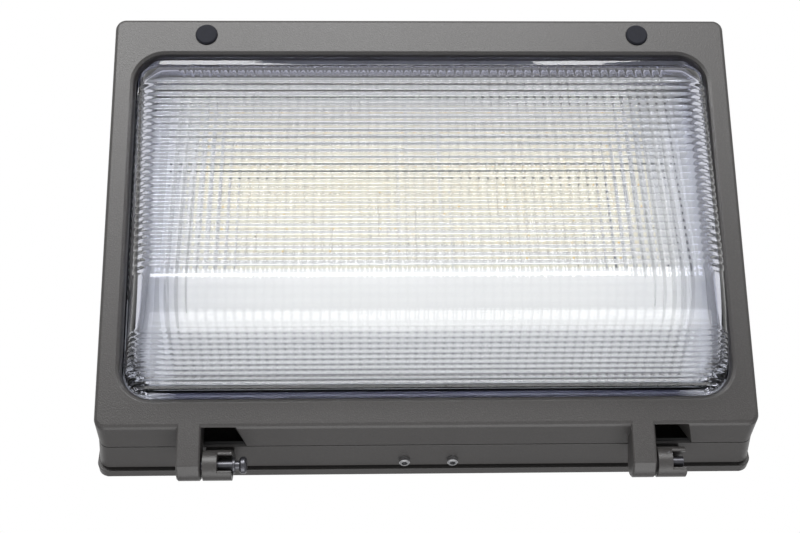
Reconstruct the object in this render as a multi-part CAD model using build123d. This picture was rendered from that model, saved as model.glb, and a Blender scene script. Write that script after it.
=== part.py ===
from build123d import *
from math import acos, atan2, cos, pi, radians, sin, sqrt, tan
import os

# A wall pack light: a cast housing hooked on a wall plate, and a cast door that hangs on two
# hinges at its foot and carries a moulded prismatic glass. Millimetres, +Z up, the wall is the
# plane Y = 0 and the light looks along -Y. The origin is the middle of the wall plate's back.

# ---------------------------------------------------------------- driving dimensions
BODY_WIDTH = 352.0          # across the door
DOOR_HEIGHT = 238.0         # up the sloping front face
DOOR_SLOPE = 22.0           # degrees that the face looks down
DOOR_DEPTH = 17.6           # front face to the joint with the housing, square to the face
DOOR_FOOT_Y = -48.0         # lower front edge of the door
BODY_FOOT_Z = -117.6
BODY_TOP_Z = 117.6
CORNER = 6.0                # outer corner radius of both castings
WALL = 3.0                  # casting wall
DOOR_FACE = 6.5             # thickness of the door's front face
EDGE_ROUND = 1.8            # rounding of the door's front edge

OPENING_HALF = 163.5        # the glass opening in the door
OPENING_LOW = 15.8
OPENING_HIGH = 215.2
OPENING_CORNER = 17.0
OPENING_ROUND = 2.6

BACK_Y = -13.0              # inside of the housing's back wall
BACK_WALL = 3.0
NECK_Y = -8.8               # where the housing's sides end in a groove before the rim
NECK_HALF = 178.6
NECK_GROOVE = 2.4           # depth of that groove
FLANGE_FRONT = -6.8         # the rim that meets the wall
FLANGE_BACK = -1.5
FLANGE_HALF = 180.0
FLANGE_HALF_HEIGHT = 118.9
FLANGE_BAND = 9.0
GASKET_INSET = 1.6          # from the outside of the joint to that rubber
JOINT_GAP = 1.0             # the rubber between door and housing sits in this gap

HINGE_V = -18.6             # hinge axis in the door's own frame, v up the face, w out of it
HINGE_W = -9.0
KNUCKLE_R = 8.0
KNUCKLE_CREASE = 1.8        # from the axis down to the crease where an arm's face turns round
BARREL_R = 8.0
BARREL_LENGTH = 15.2
BARREL_CLOSED = 7.7         # the left part of a barrel, closed all round
WINDOW_HALF = 4.3           # half width of the slot that opens its right part
WINDOW_BORE = 5.4
WINDOW_LIP = 5.8            # the slot's lips are milled flat at this height above the axis
WINDOW_TURN = 5.0           # degrees that the slot looks up from the door's own direction
ARM_WIDTH = 12.6
ARM_THICK = 13.0
ARM_CHAMFER = 0.8
LEFT_ARM_X = -132.4         # left edge of the left arm
RIGHT_ARM_X = 107.2
HINGE_GAP = 1.0             # between an arm and its barrel
NOTCH_DEPTH = 6.5           # the notch in the door's foot over a barrel
NOTCH_FRONT_W = -1.0
NOTCH_WALL = 2.4
NOTCH_SLANT = 0.7           # run of its right wall for each unit of depth
PIN_R = 2.8
PIN_CLEARANCE = 0.05
PIN_TRAVEL = 9.0            # pulled this far, the release pin is out of the door's arm
PIN_GRIP = PIN_TRAVEL - 0.5  # length of a pin inside its arm

SCREW_X = (-123.6, 125.0)   # the two closing screws of the door, under round plugs
SCREW_V = 228.1
SCREW_R = 2.0
SCREW_END_W = -27.0
SCREW_HEAD_R = 4.2
SEAT_W = -5.6               # where the screw's head sits
PLUG_R = 6.2
PLUG_PROUD = 1.4
BOSS_R = 6.6
SET_SCREW_X = (-12.2, 14.0)  # the two screws that lock the housing to the wall plate
SET_SCREW_Y = -15.0
SET_SCREW_R = 2.95
SET_SCREW_PROUD = 3.0
CLIP_X = (-84.0, -28.0, 28.0, 84.0)
CLIP_V = (2.9, 226.0)
CLIP = 1.2

DRAFT = 12.5                # lean of the glass's side walls, degrees
GLASS = 4.0
GLASS_HALF = 160.6          # half width of the glass where it passes the door's face
GLASS_BASE_W = -9.0
RIM_OVERLAP = 6.3           # how far the glass's rim runs under the door
RIM_FRONT_W = -7.7
RIM_BACK_W = -11.2
GLASS_CORNER = 12.0
INNER_CORNER = 9.0
CORNER_STEPS = 3            # flats on the round corner between a side wall and the front
PLAN_CORNER = 15.0
FOOT_WALL = ((19.6, 0.0), (43.2, 40.0))       # lower wall of the glass, (v, w)
FACE_WALL = ((70.8, 52.0), (190.4, 20.0))     # its sloping face
SHOULDER_END = (209.6, 4.6)
FOOT_LEAN, FACE_LEAN, TOP_LEAN = 59.5, -15.0, -76.0
BULLNOSE_STEPS = 7
SHOULDER_STEPS = 5
FACE_RIBS = 27
FOOT_RIBS = 12
FACE_RIB_HEIGHT = 0.75
FOOT_RIB_HEIGHT = 0.45
CREST = 0.5                 # place of a rib's crest, as a part of its pitch
FLUTES = 57                 # upright flutes inside the glass
FLUTE_PITCH = 4.8
FLUTE_DEPTH = 0.55

PAN_RIM_W = -21.0           # the white reflector pan behind the glass
PAN_FLOOR_W = -34.0
PAN_HALF = 165.0
PAN_LOW = 4.0
PAN_HIGH = 221.0
PAN_CORNER = 20.0
PAN_MOUTH = (152.0, 12.0, 214.0)              # half width, foot and top of its sunk part
PAN_FLOOR = (143.0, 52.0, 204.0)
PAN_SCREWS = ((-158.0, 30.0), (158.0, 30.0), (-158.0, 188.0), (158.0, 188.0))
PAN_POST_R = 4.5
SHEET = 1.0
TRAY_HALF = 135.5           # the sunk tray of the LED boards, seen through a hole in the pan
TRAY_LOW = 112.5
TRAY_HIGH = 187.5
TRAY_FLOOR_W = -42.0
TRAY_SHEET = 2.0
TRAY_SIDE = 1.5
TRAY_SCREWS = ((-128.0, 121.0), (128.0, 121.0), (-128.0, 179.0), (128.0, 179.0))
TRAY_POST_R = 5.0
BOARD = 1.6
BOARD_LENGTH = 120.0
BOARD_GAP = 4.0
BOARD_LOW = 117.0
BOARD_HIGH = 183.0
BOARD_SCREWS = ((-118.4, 150.0), (-13.2, 144.0), (13.2, 144.0), (118.4, 150.0))
CHIP = 3.4
CHIP_HEIGHT = 0.9
CHIP_COLUMNS = 9            # on each of the two boards
CHIP_ROWS = 5
CHIP_PITCH_X = 13.2
CHIP_PITCH_V = 12.0

PLATE_HALF = 70.0           # wall plate
PLATE_TOP = 98.0
PLATE_FOOT = -109.6
PLATE = 2.5
LAG_X, LAG_Z = 110.0, 140.0          # spacing of its four wall screws
LAG_R = 3.2
BOX_SCREWS_X = 88.9                  # spacing of its two slots for a junction box
BOX_SLOT, BOX_SLOT_WIDTH = 14.0, 5.0
HOOK_X = 45.0
HOOK_Z = 88.5
HOOK_HALF = 8.0
LEDGE = (-30.0, 33.0)                # the plate's foot, folded out under the set screws
WIRE_HOLE_R = 12.5
GROMMET_HOLE_R = 10.0
CABLE_R = 4.5

DRIVER_HALF = 75.0
DRIVER_Z = 50.0
DRIVER_HALF_HEIGHT = 29.0
DRIVER_BACK = -15.0
DRIVER_FRONT = -42.0
DRIVER_EAR = 10.0
EAR = 1.5                   # thickness of its ears
TERMINAL_X = -103.0
TERMINAL_Z = 52.0
TERMINAL_FRONT = -30.0
TERMINAL_PITCH = 9.0
COMPONENT_SCREWS = ((-80.5, DRIVER_Z), (80.5, DRIVER_Z), (TERMINAL_X, 74.0))
GROUND_AT = (-92.0, 2.0)
COMPONENT_POST_R = 4.0
LEAD_R = 1.2
LEAD_HOLES = ((97.0, 146.0), (103.0, 154.0))
CONDUIT_R = 10.4
CONDUIT_Y = -28.0
CONDUIT_Z = -62.0
CONDUIT_BOSS = 3.6

SCREW_SHANK_R = 1.6         # all the inner screws but the clips' and the boards'
SMALL_SIDES = 8             # small screws, posts and their holes are drawn with eight sides
LEAD_SIDES = 5
FIT = 0.02                  # radial play of a plug or screw in a round seat

SLOPE = radians(DOOR_SLOPE)


# ---------------------------------------------------------------- frames and small helpers
def door_plane(w=0.0):
    """The door's face moved out by w: local x is X, local y is v, local z is w."""
    origin = (0, DOOR_FOOT_Y - w * cos(SLOPE), BODY_FOOT_Z - w * sin(SLOPE))
    return Plane(origin=origin, x_dir=(1, 0, 0), z_dir=(0, -cos(SLOPE), -sin(SLOPE)))


def wall_plane(y=0.0):
    """A plane beside the wall: local x is X, local y is Z, local z points into the room."""
    return Plane(origin=(0, y, 0), x_dir=(1, 0, 0), z_dir=(0, -1, 0))


def panel(plane, half_width, low, high, radius=0.0):
    """A rectangle on a plane, centred across, from low to high, with round corners if asked."""
    size = (2 * half_width, high - low)
    outline = RectangleRounded(*size, radius) if radius else Rectangle(*size)
    return plane * Pos(0, (low + high) / 2) * outline


def cut_panel(plane, half_width, low, high, cut):
    """A rectangle like panel whose corners are cut off, as a strip gasket turns a corner."""
    outline = Rectangle(2 * half_width, high - low)
    return plane * Pos(0, (low + high) / 2) * chamfer(outline.vertices(), cut)


def block(x0, x1, y0, y1, z0, z1):
    """A box between two corners."""
    middle = Pos((x0 + x1) / 2, (y0 + y1) / 2, (z0 + z1) / 2)
    return middle * Box(x1 - x0, y1 - y0, z1 - z0)


def peg(plane, x, y, radius, start, end):
    """A round bar square to a plane, from start to end along its normal."""
    bar = Cylinder(radius, end - start, align=(Align.CENTER, Align.CENTER, Align.MIN))
    return plane.location * Pos(x, y, start) * bar


def stud(plane, x, y, radius, start, end):
    """A small bar like peg, but with flats, which keeps the many fasteners light."""
    bar = extrude(RegularPolygon(radius, SMALL_SIDES), end - start)
    return plane.location * Pos(x, y, start) * bar


def along_x(radius, x0, x1, y, z):
    """A round bar that runs along X."""
    bar = Cylinder(radius, x1 - x0, rotation=(0, 90, 0))
    return Pos((x0 + x1) / 2, y, z) * bar


def world(v, w):
    """Y and Z of a point given in the door's frame."""
    y = DOOR_FOOT_Y - v * sin(SLOPE) - w * cos(SLOPE)
    z = BODY_FOOT_Z + v * cos(SLOPE) - w * sin(SLOPE)
    return y, z


def depth_at(v, y):
    """The w at which the line square to the door at v meets the plane Y = y."""
    return -(y - DOOR_FOOT_Y + v * sin(SLOPE)) / cos(SLOPE)


HINGE_Y, HINGE_Z = world(HINGE_V, HINGE_W)
DOOR_BACK_W = -DOOR_DEPTH + JOINT_GAP / 2
HOUSING_FRONT_W = -DOOR_DEPTH - JOINT_GAP / 2


def body_section(w, inset=0.0):
    """The body's outline at depth w: its foot runs level, its top runs square to the door."""
    low, high = w * tan(SLOPE) + inset, DOOR_HEIGHT - inset
    corner = CORNER - inset if inset < WALL else 0.0
    return panel(door_plane(w), BODY_WIDTH / 2 - inset, low, high, corner)


def wire_run(points, bend):
    """A lead along a path of straight runs and tangent arcs, with a few flat sides."""
    path = FilletPolyline(*points, radius=bend)
    start = Plane(origin=path @ 0, z_dir=path % 0)
    return sweep(start * RegularPolygon(LEAD_R, LEAD_SIDES), path=path)


# ---------------------------------------------------------------- door casting
def hinge_arm(x0):
    """An arm level with the door's face that ends in a knuckle round the hinge axis."""
    root, back = 2.0, -ARM_THICK
    crease = (HINGE_V - KNUCKLE_CREASE, 0.0)
    reach = sqrt(KNUCKLE_CREASE ** 2 + HINGE_W ** 2)
    turn = atan2(crease[1] - HINGE_W, crease[0] - HINGE_V) + acos(KNUCKLE_R / reach)
    half_way = (turn + 1.5 * pi) / 2

    def on_knuckle(angle):
        return (HINGE_V + KNUCKLE_R * cos(angle), HINGE_W + KNUCKLE_R * sin(angle))

    knuckle_back = (HINGE_V, HINGE_W - KNUCKLE_R)
    outline = Wire([
        Line((root, 0.0), crease),
        Line(crease, on_knuckle(turn)),
        ThreePointArc(on_knuckle(turn), on_knuckle(half_way), knuckle_back),
        Line(knuckle_back, (-6.5, back)),
        Line((-6.5, back), (root, back)),
        Line((root, back), (root, 0.0)),
    ])
    profile = make_face(Plane.YZ * outline)
    half = ARM_WIDTH / 2 - ARM_CHAMFER
    arm = Pos(-half, 0, 0) * extrude(profile, 2 * half, dir=(1, 0, 0))
    bevelled_end = Pos(half, 0, 0) * extrude(profile, ARM_CHAMFER, dir=(1, 0, 0), taper=45)
    arm += bevelled_end + mirror(bevelled_end, about=Plane.YZ)
    return door_plane().location * Pos(x0 + ARM_WIDTH / 2, 0, 0) * arm


def hinge_notch(barrel_x):
    """The notch over a barrel, cut up into the door's foot; its right wall slants outwards."""
    low = HINGE_V + KNUCKLE_R
    inner = barrel_x + HINGE_GAP + BARREL_LENGTH - 2.6
    outer = inner + NOTCH_SLANT * (NOTCH_DEPTH - low)
    outline = Polyline(
        (barrel_x, low), (outer, low), (inner, NOTCH_DEPTH), (barrel_x, NOTCH_DEPTH), close=True,
    )
    back = -DOOR_DEPTH - 1.0
    return extrude(door_plane(back) * make_face(outline), NOTCH_FRONT_W - back)


def door_block(x0, x1, low, high, back, front):
    """A block in the door's frame."""
    return door_plane().location * block(x0, x1, low, high, back, front)


def opening_outline(w, grow):
    """The outline of the glass opening at depth w, larger all round by grow."""
    low, high = OPENING_LOW - grow, OPENING_HIGH + grow
    return panel(door_plane(w), OPENING_HALF + grow, low, high, OPENING_CORNER + grow)


def door_frame():
    casting = [
        body_section(0, EDGE_ROUND),
        body_section(-EDGE_ROUND * 0.3, EDGE_ROUND * 0.3),
        body_section(-EDGE_ROUND),
        body_section(DOOR_BACK_W),
    ]
    inside = WALL + 0.2
    hollow = [body_section(-DOOR_FACE, inside), body_section(-DOOR_DEPTH - 1.0, inside)]
    body = loft(casting, ruled=True)
    frame = body - loft(hollow, ruled=True)

    for x in SCREW_X:
        frame += stud(door_plane(), x, SCREW_V, BOSS_R, DOOR_BACK_W, -DOOR_FACE)
    for x in CLIP_X:
        for v in CLIP_V:
            frame += stud(door_plane(), x, v, 3.6, RIM_BACK_W, -DOOR_FACE)
    for x in (LEFT_ARM_X, RIGHT_ARM_X):
        start = x + ARM_WIDTH - NOTCH_WALL
        end = x + ARM_WIDTH + BARREL_LENGTH + 8.0
        high = NOTCH_DEPTH + NOTCH_WALL
        frame += body & door_block(start, end, -8.0, high, DOOR_BACK_W, -DOOR_FACE)
        frame += hinge_arm(x)

    frame -= extrude(opening_outline(-DOOR_FACE, 0.0), DOOR_FACE + 1.0)
    steps = ((-OPENING_ROUND, 0.0), (-OPENING_ROUND * 0.3, OPENING_ROUND * 0.3), (0.01, OPENING_ROUND))
    frame -= loft([opening_outline(w, grow) for w, grow in steps], ruled=True)

    for x in (LEFT_ARM_X, RIGHT_ARM_X):
        frame -= hinge_notch(x + ARM_WIDTH)
        hole_end = x + ARM_WIDTH + 1.0
        hole_start = x + ARM_WIDTH - PIN_GRIP - 0.6
        frame -= along_x(PIN_R + PIN_CLEARANCE, hole_start, hole_end, HINGE_Y, HINGE_Z)
    for x in SCREW_X:
        frame -= peg(door_plane(), x, SCREW_V, PLUG_R + FIT, SEAT_W, 1.0)
        frame -= stud(door_plane(), x, SCREW_V, SCREW_R + 0.3, -DOOR_DEPTH - 1.0, SEAT_W + 0.5)
    for x in CLIP_X:
        for v in CLIP_V:
            frame -= stud(door_plane(), x, v, 1.5, RIM_BACK_W - 1.0, RIM_BACK_W + 3.6)
    return frame


# ---------------------------------------------------------------- prismatic glass
def glass_half(w):
    """Half width of the glass's outside at height w."""
    return GLASS_HALF - w * tan(radians(DRAFT))


def section(v, top, grow, inset, base, corner, flutes=0):
    """One closed outline of the glass across the door at v, up to the height top."""
    lean = radians(DRAFT)
    half_base = glass_half(base) + grow - inset
    half_top = glass_half(top) + grow - inset
    radius = min(corner, 0.75 * (top - base))
    centre = half_top - radius * tan((pi / 2 - lean) / 2)
    right = [(half_base, base)]
    for step in range(CORNER_STEPS + 1):
        turn = lean + (pi / 2 - lean) * step / CORNER_STEPS
        right.append((centre + radius * cos(turn), top - radius * (1 - sin(turn))))
    points = list(right)
    if flutes:
        edge, half_pitch = flutes * FLUTE_PITCH / 2, FLUTE_PITCH / 2
        for i in range(2 * flutes + 1):
            points.append((edge - i * half_pitch, top - FLUTE_DEPTH * (i % 2)))
    points += [(-x, w) for x, w in reversed(right)]
    return Wire.make_polygon([(x, v, w) for x, w in points], close=True)


def plan_inset(v, low, high):
    """How far the glass's rounded plan corners draw the side walls in at v."""
    near = min(v - low, high - v)
    if near >= PLAN_CORNER:
        return 0.0
    return PLAN_CORNER - sqrt(PLAN_CORNER ** 2 - (PLAN_CORNER - max(near, 0.3)) ** 2)


def ribbed_run(wall, count, height):
    """Stations along a wall of the profile, from valley to crest and on to the next valley."""
    (v0, w0), (v1, w1) = wall
    length = sqrt((v1 - v0) ** 2 + (w1 - w0) ** 2)
    along = ((v1 - v0) / length, (w1 - w0) / length)
    normal = (-along[1], along[0])
    pitch = length / count
    stations = []
    for rib in range(count):
        for part, lift in ((0.0, 0.0), (CREST, height)):
            s = (rib + part) * pitch
            v = v0 + along[0] * s + normal[0] * lift
            w = w0 + along[1] * s + normal[1] * lift
            stations.append((v, w, lift))
    stations.append((v1, w1, 0.0))
    return stations


def round_run(a, b, turn_a, turn_b, count):
    """Stations on the round stretch from a to b, whose tangents lean turn_a and turn_b degrees."""
    stations = []
    radius = sqrt((b[0] - a[0]) ** 2 + (b[1] - a[1]) ** 2) / (2 * sin(radians(turn_a - turn_b) / 2))
    for step in range(1, count):
        lean = radians(turn_a + (turn_b - turn_a) * step / count)
        v = a[0] + radius * (sin(radians(turn_a)) - sin(lean))
        w = a[1] + radius * (cos(lean) - cos(radians(turn_a)))
        stations.append((v, w, 0.0))
    return stations


def lens():
    """The glass: a ribbed dome with a flat rim, hollowed by a bowl with upright flutes."""
    stations = [(FOOT_WALL[0][0] - 2.0, FOOT_WALL[0][1] - 3.4, 0.0)]
    stations += ribbed_run(FOOT_WALL, FOOT_RIBS, FOOT_RIB_HEIGHT)
    stations += round_run(FOOT_WALL[1], FACE_WALL[0], FOOT_LEAN, FACE_LEAN, BULLNOSE_STEPS)
    stations += ribbed_run(FACE_WALL, FACE_RIBS, FACE_RIB_HEIGHT)
    stations += round_run(FACE_WALL[1], SHOULDER_END, FACE_LEAN, TOP_LEAN, SHOULDER_STEPS)
    stations += [(*SHOULDER_END, 0.0), (SHOULDER_END[0] + 2.8, SHOULDER_END[1] - 9.6, 0.0)]
    low, high = stations[0][0] - 0.5, stations[-1][0] + 0.5
    dome = Solid.make_loft(
        [
            section(v, w, lift, plan_inset(v, low, high), GLASS_BASE_W, GLASS_CORNER)
            for v, w, lift in stations
        ],
        ruled=True,
    )
    rim = extrude(
        panel(
            Plane.XY.offset(RIM_BACK_W), OPENING_HALF + RIM_OVERLAP, OPENING_LOW - RIM_OVERLAP,
            OPENING_HIGH + RIM_OVERLAP, OPENING_CORNER + RIM_OVERLAP,
        ),
        RIM_FRONT_W - RIM_BACK_W,
    )
    inside = [
        (FOOT_WALL[0][0] + 4.6, FOOT_WALL[0][1]),
        (FOOT_WALL[1][0] + 3.4, FOOT_WALL[1][1] - 2.0),
        (57.0, 46.2),
        (FACE_WALL[0][0] - 0.6, FACE_WALL[0][1] - GLASS),
        (FACE_WALL[1][0] - 1.0, FACE_WALL[1][1] - GLASS),
        (199.8, 11.6),
        (SHOULDER_END[0] - GLASS, SHOULDER_END[1] - 1.6),
    ]
    bowl = Solid.make_loft(
        [
            section(
                v, w, -GLASS, plan_inset(v, low + GLASS, high - GLASS), RIM_BACK_W - 2.0,
                INNER_CORNER, FLUTES,
            )
            for v, w in inside
        ],
        ruled=True,
    )
    return door_plane().location * (dome + rim - bowl)


# ---------------------------------------------------------------- rear housing
def barrel(x0):
    """A hinge barrel under the housing: a closed left part, and a right part cut open in front."""
    x1 = x0 + BARREL_LENGTH
    middle = x0 + BARREL_CLOSED
    foot = BODY_FOOT_Z + 1.0
    lug = Polyline(
        (HINGE_Y + 1.0, HINGE_Z - 0.9 * BARREL_R), (-12.0, foot), (-26.5, foot),
        (HINGE_Y + 0.5, HINGE_Z + 0.9 * BARREL_R), close=True,
    )
    solid = Pos(x0, 0, 0) * extrude(make_face(Plane.YZ * lug), BARREL_LENGTH, dir=(1, 0, 0))
    solid += along_x(BARREL_R, x0, x1, HINGE_Y, HINGE_Z)
    solid -= along_x(PIN_R + PIN_CLEARANCE, x0 - 1.0, x1 + 1.0, HINGE_Y, HINGE_Z)
    solid -= along_x(WINDOW_BORE, middle, x1 + 1.0, HINGE_Y, HINGE_Z)
    outward = Pos(0, HINGE_Y, HINGE_Z) * Rot(90.0 + DOOR_SLOPE - WINDOW_TURN, 0, 0)
    reach = BARREL_R + 2.0
    solid -= outward * block(middle, x1 + 1.0, -WINDOW_HALF, WINDOW_HALF, 0.0, reach)
    return solid - outward * block(middle, x1 + 1.0, -reach, reach, WINDOW_LIP, reach)


def inner_posts():
    """The posts and bosses inside the housing that its screws and conduit plugs go into."""
    posts = [(x, v, TRAY_FLOOR_W - TRAY_SHEET, TRAY_POST_R) for x, v in TRAY_SCREWS]
    posts += [(x, v, PAN_RIM_W - SHEET, PAN_POST_R) for x, v in PAN_SCREWS]
    solids = [
        stud(door_plane(), x, v, radius, depth_at(v, BACK_Y + 1.0), top)
        for x, v, top, radius in posts
    ]
    for x in SCREW_X:
        front = HOUSING_FRONT_W
        solids.append(stud(door_plane(), x, SCREW_V, BOSS_R, front - 14.0, front))
    for x in SET_SCREW_X:
        foot = BODY_FOOT_Z
        solids.append(stud(Plane.XY, x, SET_SCREW_Y, 5.5, foot + 1.0, foot + 7.4))
    for side in (-1, 1):
        ends = sorted((side * (NECK_HALF - 10.0), side * (NECK_HALF - 1.0)))
        solids.append(stud(Plane.YZ, CONDUIT_Y, CONDUIT_Z, CONDUIT_R + CONDUIT_BOSS, *ends))
    return solids


def housing_holes():
    """Every hole in the housing: for the wire, the wall plate, the screws and the conduits."""
    front, back = BACK_Y - 1.0, BACK_Y + BACK_WALL + 1.0
    holes = [peg(wall_plane(), 0.0, 0.0, GROMMET_HOLE_R, -back, -front)]
    left, right = LEDGE
    holes.append(block(left - 1.5, right + 1.5, front, back, PLATE_FOOT - 0.2, PLATE_FOOT + 6.0))
    for x in (-HOOK_X, HOOK_X):
        half = HOOK_HALF + 1.5
        holes.append(block(x - half, x + half, front, back, HOOK_Z - 12.0, HOOK_Z + 0.1))
    pilot = SCREW_SHANK_R + 0.05
    for x, v in TRAY_SCREWS:
        holes.append(stud(door_plane(), x, v, pilot, TRAY_FLOOR_W - 12.0, 0.0))
    for x, v in PAN_SCREWS:
        holes.append(stud(door_plane(), x, v, pilot, PAN_RIM_W - 11.0, 0.0))
    for x in SCREW_X:
        holes.append(stud(door_plane(), x, SCREW_V, SCREW_R + 0.8, SCREW_END_W - 2.0, 0.0))
    for x in SET_SCREW_X:
        start = BODY_FOOT_Z - 1.0
        holes.append(peg(Plane.XY, x, SET_SCREW_Y, SET_SCREW_R + FIT, start, start + 14.0))
    for side in (-1, 1):
        ends = sorted((side * (NECK_HALF - 14.0), side * (NECK_HALF + 2.0)))
        holes.append(along_x(CONDUIT_R + FIT, *ends, CONDUIT_Y, CONDUIT_Z))
    return holes


def rear_housing():
    back = panel(wall_plane(NECK_Y), NECK_HALF, BODY_FOOT_Z, BODY_TOP_Z, CORNER)
    casting = loft([body_section(HOUSING_FRONT_W), back], ruled=True)
    rim = body_section(HOUSING_FRONT_W + 1.0, WALL)
    low, high = BODY_FOOT_Z + WALL, BODY_TOP_Z - WALL
    floor = panel(wall_plane(BACK_Y), NECK_HALF - WALL, low, high)
    housing = casting - loft([rim, floor], ruled=True)
    for post in inner_posts():
        housing += post & casting

    groove = NECK_GROOVE
    low, high = BODY_FOOT_Z + groove, BODY_TOP_Z - groove
    neck = panel(wall_plane(FLANGE_FRONT), NECK_HALF - groove, low, high, CORNER - groove)
    half, half_height = FLANGE_HALF, FLANGE_HALF_HEIGHT
    flange = panel(wall_plane(FLANGE_BACK), half, -half_height, half_height, CORNER)
    half, half_height = FLANGE_HALF - FLANGE_BAND, FLANGE_HALF_HEIGHT - FLANGE_BAND
    recess = panel(wall_plane(1.0), half, -half_height, half_height, 4.0)
    housing += extrude(neck, FLANGE_FRONT - NECK_Y)
    housing += extrude(flange, FLANGE_BACK - FLANGE_FRONT)
    housing -= extrude(recess, 1.0 - BACK_Y - BACK_WALL)

    for x0 in (LEFT_ARM_X, RIGHT_ARM_X):
        housing += barrel(x0 + ARM_WIDTH + HINGE_GAP)
    for hole in housing_holes():
        housing -= hole
    for x, z in COMPONENT_SCREWS + (GROUND_AT,):
        housing += stud(wall_plane(), x, z, COMPONENT_POST_R, -BACK_Y - 0.5, -DRIVER_BACK)
        pilot = SCREW_SHANK_R + 0.05
        housing -= stud(wall_plane(), x, z, pilot, -BACK_Y - 1.0, -DRIVER_BACK + 1.0)
    return housing


def wall_gasket():
    """A rubber frame between the housing's rim and the wall."""
    def outline(inset):
        half, half_height = FLANGE_HALF - inset, FLANGE_HALF_HEIGHT - inset
        return cut_panel(wall_plane(), half, -half_height, half_height, 4.0)
    return extrude(outline(0.8) - outline(FLANGE_BAND - 0.5), -FLANGE_BACK)


def door_gasket():
    """A rubber cord on the housing's front edge, set back from the outside of the joint."""
    def outline(inset):
        low, high = HOUSING_FRONT_W * tan(SLOPE) + inset, DOOR_HEIGHT - inset
        return cut_panel(door_plane(HOUSING_FRONT_W), BODY_WIDTH / 2 - inset, low, high, 3.0)
    return extrude(outline(GASKET_INSET) - outline(WALL - 0.05), JOINT_GAP - 0.1)


# ---------------------------------------------------------------- wall plate and its fixings
def wall_plate():
    """A steel plate with two hooks at its top and a folded ledge at its foot."""
    plate = extrude(panel(wall_plane(), PLATE_HALF, PLATE_FOOT, PLATE_TOP, 5.0), PLATE)
    ledge_front, joint = SET_SCREW_Y - 7.0, 0.5 - PLATE
    plate += block(*LEDGE, ledge_front, joint, PLATE_FOOT, PLATE_FOOT + PLATE)
    lip = BACK_Y - 0.6
    for x in (-HOOK_X, HOOK_X):
        left, right = x - HOOK_HALF, x + HOOK_HALF
        plate += block(left, right, lip - PLATE, joint, HOOK_Z - PLATE, HOOK_Z)
        plate += block(left, right, lip - PLATE, lip, HOOK_Z - PLATE, HOOK_Z + 6.0)
    plate -= peg(wall_plane(), 0.0, 0.0, WIRE_HOLE_R, -1.0, PLATE + 1.0)
    for x in (-LAG_X / 2, LAG_X / 2):
        for z in (-LAG_Z / 2, LAG_Z / 2):
            plate -= peg(wall_plane(), x, z, LAG_R, -1.0, PLATE + 1.0)
    for x in (-BOX_SCREWS_X / 2, BOX_SCREWS_X / 2):
        slot = wall_plane(1.0) * Pos(x, 0) * SlotOverall(BOX_SLOT, BOX_SLOT_WIDTH)
        plate -= extrude(slot, PLATE + 2.0)
    return plate


def wire_grommet():
    """A rubber bush in the housing's back wall, held by a lip on each side of it."""
    back, front = -BACK_Y - BACK_WALL - 0.05, -BACK_Y + 0.05
    lip = GROMMET_HOLE_R + 2.0
    bush = peg(wall_plane(), 0.0, 0.0, GROMMET_HOLE_R - 0.05, back, front)
    bush += stud(wall_plane(), 0.0, 0.0, lip, back - 1.2, back)
    bush += stud(wall_plane(), 0.0, 0.0, lip, front, front + 1.4)
    return bush - peg(wall_plane(), 0.0, 0.0, CABLE_R, back - 2.0, front + 2.0)


def set_screws():
    """Two socket screws under the housing that press up against the plate's ledge."""
    outer = BODY_FOOT_Z - SET_SCREW_PROUD
    screws = []
    for x in SET_SCREW_X:
        screw = peg(Plane.XY, x, SET_SCREW_Y, SET_SCREW_R, outer, PLATE_FOOT)
        rim = screw.edges().filter_by(GeomType.CIRCLE).sort_by(Axis.Z)[0]
        key = Plane.XY.offset(outer) * Pos(x, SET_SCREW_Y) * RegularPolygon(1.75, 6)
        screws.append(chamfer(rim, 0.5) - extrude(key, 3.0))
    return Compound(screws)


def conduit_plugs():
    """Flush plugs with a hexagon socket in the conduit entries of both side walls."""
    plug = Cylinder(CONDUIT_R, 8.0, rotation=(0, 90, 0))
    plug -= extrude(Plane.YZ.offset(1.0) * RegularPolygon(4.6, 6), 4.0)
    right = Pos(NECK_HALF - 5.4, CONDUIT_Y, CONDUIT_Z) * plug
    return Compound([mirror(right, about=Plane.YZ), right])


# ---------------------------------------------------------------- hinge pins and door fixings
def release_pin():
    """The left hinge's pin: it pulls out to the right by its knob to free the door."""
    arm_edge = LEFT_ARM_X + ARM_WIDTH
    barrel_end = arm_edge + HINGE_GAP + BARREL_LENGTH
    pin = along_x(PIN_R, arm_edge - PIN_GRIP, barrel_end + 0.5, HINGE_Y, HINGE_Z)
    pin += along_x(4.2, barrel_end + 0.4, barrel_end + 1.5, HINGE_Y, HINGE_Z)
    pin += along_x(2.5, barrel_end + 1.4, barrel_end + 4.0, HINGE_Y, HINGE_Z)
    knob = along_x(4.5, barrel_end + 3.9, barrel_end + 7.6, HINGE_Y, HINGE_Z)
    return pin + chamfer(knob.edges().filter_by(GeomType.CIRCLE), 0.9)


def fixed_hinge_pin():
    """The right hinge's pin, as short as its barrel."""
    arm_edge = RIGHT_ARM_X + ARM_WIDTH
    barrel_end = arm_edge + HINGE_GAP + BARREL_LENGTH
    return along_x(PIN_R, arm_edge - PIN_GRIP, barrel_end - 0.8, HINGE_Y, HINGE_Z)


def door_screws():
    """The two socket screws that hold the door shut."""
    screws = []
    for x in SCREW_X:
        screw = stud(door_plane(), x, SCREW_V, SCREW_R, SCREW_END_W, SEAT_W + 0.5)
        head = stud(door_plane(), x, SCREW_V, SCREW_HEAD_R, SEAT_W, SEAT_W + 2.6)
        key = door_plane(SEAT_W + 1.0) * Pos(x, SCREW_V) * RegularPolygon(1.8, 6)
        screws.append(screw + head - extrude(key, 3.0))
    return Compound(screws)


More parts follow.
